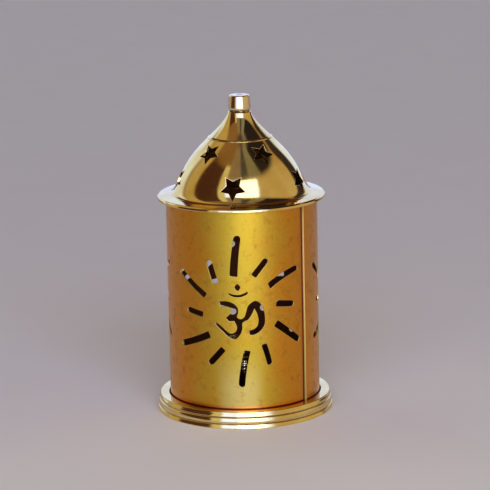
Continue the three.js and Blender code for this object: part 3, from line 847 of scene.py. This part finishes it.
def dome_normal(along, run):
    """The outward normals of the dome, from places on the flat drawing."""
    turn = along / flat_radius
    r, z, out_r, out_z = on_dome(run)
    out = np.stack([out_r * np.sin(turn), -out_r * np.cos(turn), out_z], 1)
    return out / np.linalg.norm(out, axis=1)[:, None]


corners = np.arange(2 * star_points)
corner_turns = -math.pi / 2 + corners * math.pi / star_points
corner_radii = np.where(corners % 2, star_waist, star_radius)[:, None]
star = tidy(corner_radii * np.stack([np.cos(corner_turns), np.sin(corner_turns)], 1)) * mm


def finer(outline, steps=6):
    """The outline with each side divided."""
    ahead = np.roll(outline, -1, 0)
    shares = np.arange(steps) / steps
    return np.vstack([a + (b - a) * share for a, b in zip(outline, ahead) for share in shares])


def star_hole(turn, z, size, lean):
    """A star in the dome: its outline, grown by a distance, on the flat drawing."""
    spin = np.array([[math.cos(lean), math.sin(lean)], [-math.sin(lean), math.cos(lean)]])
    centre = np.interp(z, dome_curve[:, 1], dome_run)
    turn = (turn + math.pi) % (2 * math.pi) - math.pi

    def cut(by):
        outline = finer(grown(star * size, by)) @ spin
        run = centre + outline[:, 1]
        return np.stack([(turn + outline[:, 0] / on_dome(run)[0]) * flat_radius, run], 1)
    return cut


star_holes = []
for k in range(stars_per_row):
    lower = lower_turn + star_step * (k - 2)
    star_holes.append(star_hole(lower, lower_star_z, 1, 0))
    star_holes.append(star_hole(lower - star_step / 2, upper_star_z, upper_star_size, upper_star_lean))


def dome_shell():
    """The pierced dome, with the flange and locating ring at its foot and the cut edge at its top."""
    facets = 240
    columns = np.linspace(-math.pi, math.pi, facets + 1) * flat_radius
    rows = np.linspace(0, dome_run[-1], 61)
    points, normals, faces, _, deep = pierced(
        dome_point, dome_normal, columns, rows, star_holes, lid_wall, star_ease, rim=False,
    )
    inner = dome_curve - dome_out * lid_wall
    lip_top = crease_z - flange_fall
    below = rounded([
        tuple(inner[0]),
        (ring_inside, inner[0][1] - 0.1 * mm, 0.05 * mm),
        (ring_inside, ring_bottom, 0.2 * mm),
        (ring_outside, ring_bottom, 0.3 * mm),
        (ring_outside, flange_z, 0.15 * mm),
        (lip_radius, flange_z, 0.35 * mm),
        (lip_radius - 0.25 * mm, flange_z + 1.05 * mm, 0.3 * mm),
        (lip_radius - 0.85 * mm, lip_top, 0.45 * mm),
        (crease_radius + 0.9 * mm, crease_z - 0.12 * mm, 0.4 * mm),
        tuple(dome_curve[0]),
    ])
    above = np.array([dome_curve[-1], (dome_curve[-1] + inner[-1]) / 2, inner[-1]])
    for strip, end in ((below, dome_out[0]), (above, -dome_out[-1])):
        out = profile_normals(strip)
        out[0], out[-1] = -end, end
        more, ways = spun(strip, out, facets)
        start = len(points)
        faces += [tuple(start + i for i in face) for face in ring_faces(len(strip), facets, closed=False)]
        points, normals = np.vstack([points, more]), np.vstack([normals, ways])
        deep = np.hstack([deep, np.zeros(len(more))])
    # soot and painted shade, darkening the dome's inside and its stars' inner edges
    painted_shade = (deep * 2.5 - 1.5).clip(0, 1)  # on the inside and the inner half of each star's edge
    return make_piece("spun_dome", points, normals, faces, {"grime_and_shade": painted_shade})


dome = dome_shell()
lid_brass = turned_brass("lid_brass", (0.88, 0.67, 0.28, 1), (0.78, 0.52, 0.17, 1), 0.05, 0.13,
                         wave=0.05 * mm, grime_and_shade=True)
finished(dome, lid_brass, "lid", "polished_brass", "lid_dome")


# ---- Lid neck ------------------------------------------------------------------------------------
# A hollow casting that carries the dome's curve on up to the knob. Its foot stands a hair proud of
# the dome as a thin bright bead, and a spigot inside centres it in the dome's opening.

neck_low, neck_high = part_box("lid_neck")
neck_top = neck_z + 11 * mm
collar_radius = 4.2 * mm
collar_top = neck_high.z
neck_ceiling = neck_top - 4 * mm
neck_top_radius = 5 * mm
screw_bore = 1.8 * mm
washer_seat = 3.7 * mm
neck_top_lean = 8
neck_curve = stretch(
    wall_end, neck_lean, 4.5 * mm, (neck_top_radius, neck_top), neck_top_lean, 3.5 * mm, 40,
)
mouth_radius, mouth_z = dome_curve[-1] - dome_out[-1] * lid_wall  # the dome's opening, inside
spigot_outside = mouth_radius - 0.3 * mm
spigot_inside = mouth_radius - 1.6 * mm
neck_profile = rounded([
    (spigot_inside, neck_low.z, 0.15 * mm),
    (spigot_outside, neck_low.z, 0.2 * mm),
    (spigot_outside, mouth_z - 0.1 * mm),
    (neck_foot_radius - 0.1 * mm, neck_z + 0.05 * mm),
    (neck_foot_radius + 0.12 * mm, neck_z + 0.12 * mm, 0.1 * mm),
    (neck_foot_radius - 0.08 * mm, neck_z + 0.42 * mm, 0.1 * mm),
    *[tuple(p) for p in neck_curve[3:-1]],
    (neck_top_radius, neck_top, 0.15 * mm),
    (collar_radius, neck_top + 0.25 * mm, 0.15 * mm),
    (collar_radius, collar_top, 0.1 * mm),
    (screw_bore, collar_top, 0.1 * mm),
    (screw_bore, neck_ceiling, 0.1 * mm),
    (washer_seat, neck_ceiling, 0.3 * mm),
    (spigot_inside, mouth_z, 0.8 * mm),
])


def neck_grime(profile):
    """Residue in the groove round the collar."""
    r, z = profile[:, 0], profile[:, 1]
    return ((z > neck_top + 0.1 * mm) & (r < collar_radius + 0.35 * mm)).astype(float)


neck = turned("cast_neck", neck_profile, 192, neck_grime)
neck_brass = turned_brass("neck_brass", (0.88, 0.67, 0.28, 1), (0.78, 0.52, 0.17, 1), 0.05, 0.13,
                          grime_and_shade=True)
finished(neck, neck_brass, "lid", "polished_brass", "lid_neck")


# ---- Knob ----------------------------------------------------------------------------------------
# Turned from rod: a short taper with a soft top edge, tapped from below for the screw in the neck.

knob_low, knob_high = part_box("lid_knob")
knob_z, knob_top = knob_low.z, knob_high.z
knob_radius = 4.9 * mm
knob_top_radius = 4.3 * mm
knob_bore = 1.8 * mm
bore_depth = 2.5 * mm  # below the knob's top
dimple_radius = 2.4 * mm
dimple_depth = 0.15 * mm
knob_profile = rounded([
    (0, knob_top - bore_depth),
    (knob_bore, knob_top - bore_depth, 0.2 * mm),
    (knob_bore, knob_z, 0.2 * mm),
    (knob_radius - 0.15 * mm, knob_z, 0.35 * mm),
    (knob_radius, knob_z + 0.9 * mm, 0.5 * mm),
    (knob_top_radius, knob_top, 0.7 * mm),
    (dimple_radius, knob_top, 0.4 * mm),
    (dimple_radius - 0.8 * mm, knob_top - 0.8 * dimple_depth, 0.6 * mm),
    (0, knob_top - dimple_depth),
])
knob = turned("turned_knob", knob_profile, 128)
knob_brass = turned_brass("knob_brass", (0.90, 0.76, 0.46, 1), (0.82, 0.62, 0.34, 1), 0.08, 0.18,
                          line_depth=0.004 * mm)
finished(knob, knob_brass, "lid", "polished_brass", "lid_knob")


# ---- Screws and washers --------------------------------------------------------------------------
# Plain machined brass: one screw and washer hold the holder from under the base, and a smaller pair
# hold the knob from inside the neck.

screw_brass = turned_brass("screw_brass", (0.72, 0.56, 0.27, 1), (0.55, 0.38, 0.16, 1), 0.28, 0.42,
                           line_gap=0.25 * mm, line_depth=0.006 * mm)
for node in ("holder_screw", "holder_washer", "knob_screw", "knob_washer"):
    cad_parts[node].data.materials.clear()
    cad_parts[node].data.materials.append(screw_brass)


# ---- Studio --------------------------------------------------------------------------------------
# A plain pale floor and soft light from two lamps in front. Round them stand a large softbox, pale and
# warm walls, and the dark gaps between these, which give the polished brass its brown bands.

floor = bpy.data.objects.new("floor", bpy.data.meshes.new("floor"))
reach = 4
floor_corners = [(-reach, -reach, 0), (reach, -reach, 0), (reach, reach, 0), (-reach, reach, 0)]
floor.data.from_pydata(floor_corners, [], [(0, 1, 2, 3)])
bpy.context.scene.collection.objects.link(floor)
paper = Finish(bpy.data.materials.new("floor_paper"))
paper_place = paper.node("ShaderNodeTexCoord", {}, {}, "Object")
paper_cloud = paper.noise(paper_place, 40 * mm, 2)
paper.principled({
    "Base Color": paper.mix(paper_cloud, (0.93, 0.85, 0.72, 1), (0.96, 0.88, 0.75, 1)), "Roughness": 0.85,
})
floor.data.materials.append(paper.owner)

world = bpy.context.scene.world or bpy.data.worlds.new("studio")
bpy.context.scene.world = world
studio = Finish(world)
way = studio.node("ShaderNodeTexCoord", {}, {}, "Generated")
part = {axis: studio.node("ShaderNodeSeparateXYZ", {}, {0: way}, axis) for axis in "XYZ"}
azimuth = studio.node("ShaderNodeMath", {"operation": "ARCTAN2"}, {0: part["X"], 1: 0 - part["Y"]})
elevation = studio.node("ShaderNodeMath", {"operation": "ARCSINE"}, {0: part["Z"]})


def patch(turn, half_turn, rise, half_rise, soft):
    """A soft-edged patch of the surroundings, in degrees: 1 on it and 0 round it."""
    degrees = (turn, half_turn, rise, half_rise, soft)
    turn, half_turn, rise, half_rise, soft = (math.radians(angle) for angle in degrees)
    aside = abs(azimuth - turn)
    # behind the burner the shorter way to the patch may be the other way round
    other_way = abs(aside - 2 * math.pi)
    aside = studio.node("ShaderNodeMath", {"operation": "MINIMUM"}, {0: aside, 1: other_way})
    above = abs(elevation - rise)
    return (studio.between(aside, half_turn - soft, half_turn + soft, 1, 0)
            * studio.between(above, half_rise - soft, half_rise + soft, 1, 0))


sky_low, sky_high = math.radians(28.65), math.radians(74.5)
surroundings = studio.mix(
    studio.between(elevation, sky_low, sky_high), (0.36, 0.30, 0.20, 1), (0.26, 0.23, 0.20, 1),
)
# turn from the front to the right, half its width, rise, half its height, softness, colour
for turn, half_turn, rise, half_rise, soft, colour in (
    (86, 54, 18, 25, 7, (0.56, 0.47, 0.27)),  # warm wall on the right
    (150, 45, 56, 20, 7, (0.46, 0.31, 0.14)),  # and above it
    (-125, 55, 53, 16, 7, (0.50, 0.38, 0.16)),  # and on the left
    (-106, 12, 18, 28, 4, (0.50, 0.41, 0.20)),  # a strip of it lower down
    (-150, 24, 14, 22, 5, (0.80, 0.98, 1.30)),  # pale wall behind on the left
    (172, 34, 12, 20, 5, (0.80, 1.00, 1.60)),  # and behind
    (-66, 34, 70, 16, 5, (0.25, 0.14, 0.06)),  # brown ceiling on the left
    (-70, 25, 24, 32, 4, (0.075, 0.032, 0.024)),  # dark gap on the left
    (130, 11, 16, 26, 3, (0.04, 0.03, 0.035)),  # and far right
    (98, 48, 61, 16, 4, (0.022, 0.018, 0.025)),  # and overhead on the right
    (-14, 18, 64, 20, 5, (0.27, 0.21, 0.16)),  # ceiling above the softbox, in three tones
    (10, 10, 64, 17, 4, (0.075, 0.08, 0.10)),
    (36, 13, 58, 13, 4, (0.24, 0.25, 0.20)),
    (-39, 7, 26, 34, 3, (0.66, 0.60, 0.34)),  # bright edge between the gap and the softbox
    (180, 40, 50, 24, 5, (0.09, 0.04, 0.03)),  # dark beam behind
    (0, 200, 90, 9, 3, (0.06, 0.03, 0.03)),  # dark straight overhead
    (2, 34, 17, 25, 3, (1.10, 1.42, 2.90)),  # the large softbox in front
    (-9, 2.5, 2, 14, 2, (0.65, 0.80, 1.4)),  # its stand
):
    surroundings = studio.mix(patch(turn, half_turn, rise, half_rise, soft), surroundings, (*colour, 1))
background = studio.tree.nodes["Background"]
studio.fill(background, {"Color": surroundings, "Strength": 1.0})


def softbox(name, place, aim, width, height, power):
    """A soft lamp at a place, aimed at a point."""
    lamp = bpy.data.objects.new(name, bpy.data.lights.new(name, "AREA"))
    lamp.data.shape = "RECTANGLE"
    lamp.data.size, lamp.data.size_y = width, height
    lamp.data.energy = power
    lamp.location = place
    lamp.rotation_euler = (Vector(aim) - Vector(place)).to_track_quat("-Z", "Y").to_euler()
    bpy.context.scene.collection.objects.link(lamp)


middle = (cad_box[0] + cad_box[1]) / 2
softbox("front_light", (0.10, -0.75, 0.15), middle, 0.50, 0.24, 1.3)
softbox("near_light", (0.08, -0.5, 0.40), (0, -0.15, 0), 0.40, 0.24, 0.5)

view = bpy.context.scene.view_settings
view.view_transform = "Standard"
view.look = "None"
